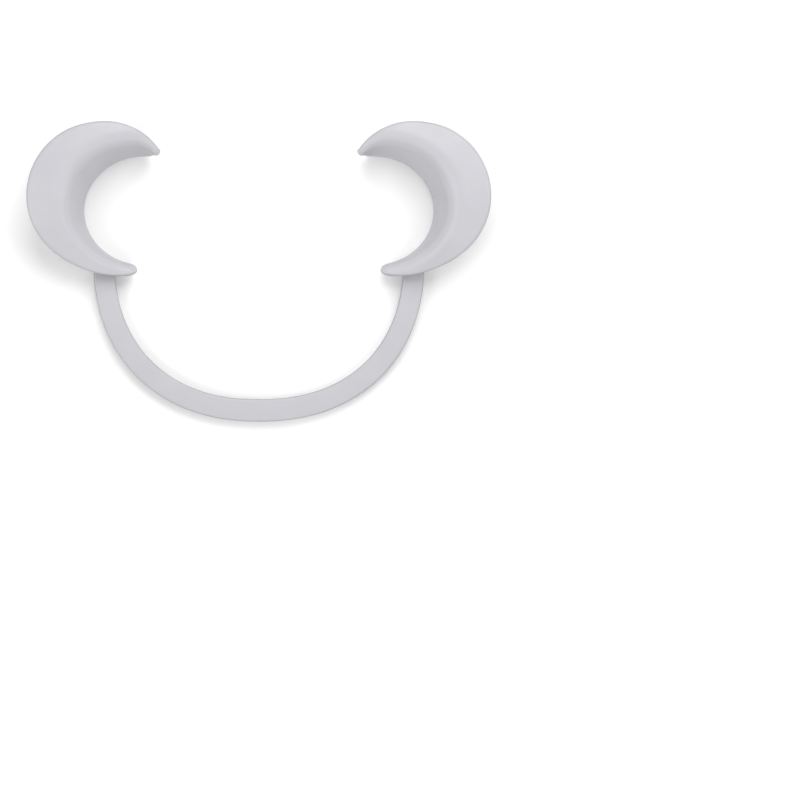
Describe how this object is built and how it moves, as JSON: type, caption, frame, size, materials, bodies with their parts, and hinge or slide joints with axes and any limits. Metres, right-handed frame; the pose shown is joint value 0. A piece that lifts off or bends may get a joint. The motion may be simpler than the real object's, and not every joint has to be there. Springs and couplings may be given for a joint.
{
  "type": "cheek retractor",
  "caption": "C-shaped lip and cheek retractor: a springy flat bow joins two crescent scoops with grooves that hold the corners of the mouth open.",
  "frame": {"origin": "middle of the C across its width and its length, on the surface that it lies on", "axes": "+X across the mouth to the wearer's left scoop as seen from the cheek side, +Y from the bow to the open end of the C, +Z from the lip side up to the cheek side"},
  "size_m": [0.1146, 0.0742, 0.015],
  "materials": {
    "plastic": "satin light cool grey polypropylene, opaque, injection moulded"
  },
  "bodies": {
    "bow_centre": {"bow_centre": "plastic"},
    "bow_right_1": {"bow_right_1": "plastic"},
    "bow_right_2": {"bow_right_2": "plastic"},
    "bow_right_3": {"bow_right_3": "plastic"},
    "bow_right_4": {"bow_right_4": "plastic"},
    "scoop_right": {"scoop_right": "plastic"},
    "bow_left_1": {"bow_left_1": "plastic"},
    "bow_left_2": {"bow_left_2": "plastic"},
    "bow_left_3": {"bow_left_3": "plastic"},
    "bow_left_4": {"bow_left_4": "plastic"},
    "scoop_left": {"scoop_left": "plastic"}
  },
  "joints": [
    {"name": "right_squeeze", "type": "hinge", "parent": "bow_centre", "child": "bow_right_1", "pos_m": [0.00599, -0.03416, 0.0015], "axis": [0, 0, 1], "range_deg": [-1.2, 4.8], "stiffness_Nm_per_rad": 13},
    {"name": "right_flex_2", "type": "hinge", "parent": "bow_right_1", "child": "bow_right_2", "pos_m": [0.01761, -0.03133, 0.0015], "axis": [0, 0, 1], "range_deg": [-1.2, 4.6]},
    {"name": "right_flex_3", "type": "hinge", "parent": "bow_right_2", "child": "bow_right_3", "pos_m": [0.02766, -0.0249, 0.0015], "axis": [0, 0, 1], "range_deg": [-1, 4]},
    {"name": "right_flex_4", "type": "hinge", "parent": "bow_right_3", "child": "bow_right_4", "pos_m": [0.03467, -0.01524, 0.0015], "axis": [0, 0, 1], "range_deg": [-0.8, 3]},
    {"name": "right_twist", "type": "hinge", "parent": "bow_right_4", "child": "scoop_right", "pos_m": [0.038, -0.0032, 0.0015], "axis": [0.1103, 0.9939, 0], "range_deg": [-8, 8], "stiffness_Nm_per_rad": 0.5},
    {"name": "left_squeeze", "type": "hinge", "parent": "bow_centre", "child": "bow_left_1", "pos_m": [-0.00599, -0.03416, 0.0015], "axis": [0, 0, -1], "range_deg": [-1.2, 4.8], "stiffness_Nm_per_rad": 13},
    {"name": "left_flex_2", "type": "hinge", "parent": "bow_left_1", "child": "bow_left_2", "pos_m": [-0.01761, -0.03133, 0.0015], "axis": [0, 0, -1], "range_deg": [-1.2, 4.6]},
    {"name": "left_flex_3", "type": "hinge", "parent": "bow_left_2", "child": "bow_left_3", "pos_m": [-0.02766, -0.0249, 0.0015], "axis": [0, 0, -1], "range_deg": [-1, 4]},
    {"name": "left_flex_4", "type": "hinge", "parent": "bow_left_3", "child": "bow_left_4", "pos_m": [-0.03467, -0.01524, 0.0015], "axis": [0, 0, -1], "range_deg": [-0.8, 3]},
    {"name": "left_twist", "type": "hinge", "parent": "bow_left_4", "child": "scoop_left", "pos_m": [-0.038, -0.0032, 0.0015], "axis": [0.1103, -0.9939, 0], "range_deg": [-8, 8], "stiffness_Nm_per_rad": 0.5}
  ],
  "couplings": [
    {"joint": "right_flex_2", "follows": "right_squeeze", "ratio": 0.94},
    {"joint": "right_flex_3", "follows": "right_squeeze", "ratio": 0.81},
    {"joint": "right_flex_4", "follows": "right_squeeze", "ratio": 0.61},
    {"joint": "left_flex_2", "follows": "left_squeeze", "ratio": 0.94},
    {"joint": "left_flex_3", "follows": "left_squeeze", "ratio": 0.81},
    {"joint": "left_flex_4", "follows": "left_squeeze", "ratio": 0.61}
  ]
}
